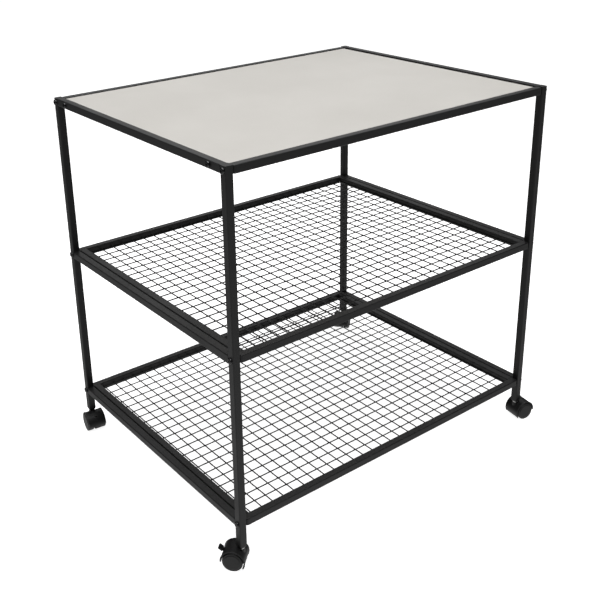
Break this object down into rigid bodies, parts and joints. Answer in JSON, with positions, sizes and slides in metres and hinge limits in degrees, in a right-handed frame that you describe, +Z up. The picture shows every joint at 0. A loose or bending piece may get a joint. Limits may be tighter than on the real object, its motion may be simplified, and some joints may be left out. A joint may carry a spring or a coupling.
{
  "type": "mobile printer stand",
  "caption": "Mobile printer stand: solid top panel over two wire mesh shelves in a square-tube frame, on swivelling twin-wheel casters, two of them with a brake lever.",
  "frame": {"origin": "on the floor, in the middle of the four legs", "axes": "+Z up, X along the long side, the front, a long side, faces -Y"},
  "size_m": [0.85, 0.6325, 0.77],
  "materials": {
    "powder_coated_tube": "satin black powder coat",
    "coated_wire": "satin black coated welded wire",
    "laminate_panel": "pale warm-grey laminate, satin",
    "caster_plastic": "black moulded nylon, fine grain",
    "wheel_nylon": "dark grey moulded nylon, satin",
    "socket_plastic": "black moulded plastic",
    "bright_steel": "zinc-plated steel",
    "black_fastener": "black oxide, satin",
    "zinc_fastener": "zinc-plated steel",
    "insert_brass": "plain brass"
  },
  "bodies": {
    "frame": {"bottom_bar_front": "powder_coated_tube", "bottom_bar_left": "powder_coated_tube", "bottom_bar_rear": "powder_coated_tube", "bottom_bar_right": "powder_coated_tube", "bottom_mesh_cross_wires": "coated_wire", "bottom_mesh_long_wires": "coated_wire", "caster_front_left_stem": "bright_steel", "caster_front_right_stem": "bright_steel", "caster_rear_left_stem": "bright_steel", "caster_rear_right_stem": "bright_steel", "leg_bolts_bottom": "black_fastener", "leg_bolts_middle": "black_fastener", "leg_bolts_top": "black_fastener", "leg_front_left": "powder_coated_tube", "leg_front_right": "powder_coated_tube", "leg_rear_left": "powder_coated_tube", "leg_rear_right": "powder_coated_tube", "leg_sockets": "socket_plastic", "middle_bar_front": "powder_coated_tube", "middle_bar_left": "powder_coated_tube", "middle_bar_rear": "powder_coated_tube", "middle_bar_right": "powder_coated_tube", "middle_mesh_cross_wires": "coated_wire", "middle_mesh_long_wires": "coated_wire", "panel_screws": "zinc_fastener", "panel_tabs": "powder_coated_tube", "rail_bolts": "black_fastener", "side_rail_left_bottom": "powder_coated_tube", "side_rail_left_middle": "powder_coated_tube", "side_rail_left_top": "powder_coated_tube", "side_rail_right_bottom": "powder_coated_tube", "side_rail_right_middle": "powder_coated_tube", "side_rail_right_top": "powder_coated_tube", "threaded_inserts_bottom": "insert_brass", "threaded_inserts_middle": "insert_brass", "threaded_inserts_top": "insert_brass", "top_bar_front": "powder_coated_tube", "top_bar_rear": "powder_coated_tube", "top_ledge_left": "powder_coated_tube", "top_ledge_right": "powder_coated_tube", "top_panel": "laminate_panel"},
    "caster_front_left": {"caster_front_left_hood": "caster_plastic", "caster_front_left_axle": "bright_steel"},
    "wheel_front_left_left": {"caster_front_left_wheel_left": "wheel_nylon"},
    "wheel_front_left_right": {"caster_front_left_wheel_right": "wheel_nylon"},
    "brake_lever_front_left": {"caster_front_left_brake_lever": "caster_plastic"},
    "caster_front_right": {"caster_front_right_hood": "caster_plastic", "caster_front_right_axle": "bright_steel"},
    "wheel_front_right_left": {"caster_front_right_wheel_left": "wheel_nylon"},
    "wheel_front_right_right": {"caster_front_right_wheel_right": "wheel_nylon"},
    "caster_rear_left": {"caster_rear_left_hood": "caster_plastic", "caster_rear_left_axle": "bright_steel"},
    "wheel_rear_left_left": {"caster_rear_left_wheel_left": "wheel_nylon"},
    "wheel_rear_left_right": {"caster_rear_left_wheel_right": "wheel_nylon"},
    "caster_rear_right": {"caster_rear_right_hood": "caster_plastic", "caster_rear_right_axle": "bright_steel"},
    "wheel_rear_right_left": {"caster_rear_right_wheel_left": "wheel_nylon"},
    "wheel_rear_right_right": {"caster_rear_right_wheel_right": "wheel_nylon"},
    "brake_lever_rear_right": {"caster_rear_right_brake_lever": "caster_plastic"}
  },
  "joints": [
    {"name": "swivel_front_left", "type": "hinge", "parent": "frame", "child": "caster_front_left", "pos_m": [-0.385, -0.2925, 0.0389], "axis": [0, 0, 1], "continuous": true},
    {"name": "roll_front_left_left", "type": "hinge", "parent": "caster_front_left", "child": "wheel_front_left_left", "pos_m": [-0.39419, -0.28193, 0.0195], "axis": [-0.7547, -0.6561, 0], "continuous": true},
    {"name": "roll_front_left_right", "type": "hinge", "parent": "caster_front_left", "child": "wheel_front_left_right", "pos_m": [-0.39419, -0.28193, 0.0195], "axis": [-0.7547, -0.6561, 0], "continuous": true},
    {"name": "brake_front_left", "type": "hinge", "parent": "caster_front_left", "child": "brake_lever_front_left", "pos_m": [-0.40282, -0.272, 0.02429], "axis": [-0.7547, -0.6561, 0], "range_deg": [0, 18]},
    {"name": "swivel_front_right", "type": "hinge", "parent": "frame", "child": "caster_front_right", "pos_m": [0.385, -0.2925, 0.0389], "axis": [0, 0, 1], "continuous": true},
    {"name": "roll_front_right_left", "type": "hinge", "parent": "caster_front_right", "child": "wheel_front_right_left", "pos_m": [0.39874, -0.29517, 0.0195], "axis": [0.1908, 0.9816, 0], "continuous": true},
    {"name": "roll_front_right_right", "type": "hinge", "parent": "caster_front_right", "child": "wheel_front_right_right", "pos_m": [0.39874, -0.29517, 0.0195], "axis": [0.1908, 0.9816, 0], "continuous": true},
    {"name": "swivel_rear_left", "type": "hinge", "parent": "frame", "child": "caster_rear_left", "pos_m": [-0.385, 0.2925, 0.0389], "axis": [0, 0, 1], "continuous": true},
    {"name": "roll_rear_left_left", "type": "hinge", "parent": "caster_rear_left", "child": "wheel_rear_left_left", "pos_m": [-0.38695, 0.27864, 0.0195], "axis": [0.9903, -0.1392, 0], "continuous": true},
    {"name": "roll_rear_left_right", "type": "hinge", "parent": "caster_rear_left", "child": "wheel_rear_left_right", "pos_m": [-0.38695, 0.27864, 0.0195], "axis": [0.9903, -0.1392, 0], "continuous": true},
    {"name": "swivel_rear_right", "type": "hinge", "parent": "frame", "child": "caster_rear_right", "pos_m": [0.385, 0.2925, 0.0389], "axis": [0, 0, 1], "continuous": true},
    {"name": "roll_rear_right_left", "type": "hinge", "parent": "caster_rear_right", "child": "wheel_rear_right_left", "pos_m": [0.37367, 0.28427, 0.0195], "axis": [0.5878, -0.809, 0], "continuous": true},
    {"name": "roll_rear_right_right", "type": "hinge", "parent": "caster_rear_right", "child": "wheel_rear_right_right", "pos_m": [0.37367, 0.28427, 0.0195], "axis": [0.5878, -0.809, 0], "continuous": true},
    {"name": "brake_rear_right", "type": "hinge", "parent": "caster_rear_right", "child": "brake_lever_rear_right", "pos_m": [0.36303, 0.27654, 0.02429], "axis": [0.5878, -0.809, 0], "range_deg": [0, 18]}
  ]
}
